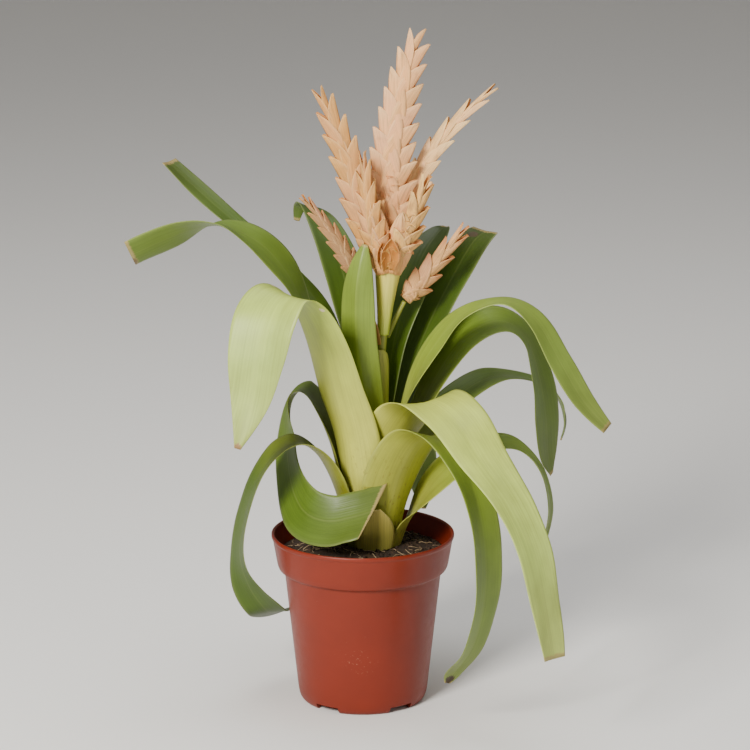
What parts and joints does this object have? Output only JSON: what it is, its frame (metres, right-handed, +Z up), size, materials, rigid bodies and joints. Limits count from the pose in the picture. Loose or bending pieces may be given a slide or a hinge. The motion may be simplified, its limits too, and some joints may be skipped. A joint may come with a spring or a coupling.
{
  "type": "potted_plant",
  "caption": "Bromeliad in a terracotta-coloured plastic nursery pot: arching strap leaves round a stem with a branched head of dried, overlapping beige bracts",
  "frame": {"origin": "centre of the pot's resting face, on the surface it stands on", "axes": "+Z up along the pot's axis; -Y is the front, the side with the widest arching leaves and the flat face of the middle flower spike; +X is to the right seen from the front"},
  "size_m": [0.3121, 0.2799, 0.446],
  "materials": {
    "terracotta": "satin",
    "soil": "matte",
    "crown": "matte",
    "leaf": "satin",
    "old_sheath": "matte",
    "stem": "satin",
    "bract": "matte"
  },
  "bodies": {
    "root": {"pot": "terracotta", "soil": "soil", "crown": "crown", "leaf_inner_upright": "leaf", "leaf_back_right_inner": "leaf", "leaf_back_dark": "leaf", "leaf_right_slim": "leaf", "leaf_back_right": "leaf", "leaf_left_back": "leaf", "leaf_left_long": "leaf", "leaf_right_broad": "leaf", "leaf_front_right_long": "leaf", "leaf_front_left_broad": "leaf", "leaf_right_mid": "leaf", "leaf_back_low_left": "leaf", "leaf_front_right_low": "leaf", "leaf_left_low": "leaf", "leaf_back_low_right": "leaf", "leaf_right_low": "leaf", "leaf_left_curled": "leaf", "sheath_old": "old_sheath", "flower_stem": "stem", "side_stem_right": "stem", "side_stem_left": "stem", "stem_sheath_low": "stem", "stem_sheath_high": "stem", "stem_bract_small": "stem", "spike_center": "bract", "spike_left": "bract", "spike_right": "bract", "spike_front_left": "bract", "spike_front_right": "bract", "bract_front_open": "bract", "spike_low_left": "bract", "spike_low_right": "bract"}
  },
  "joints": []
}
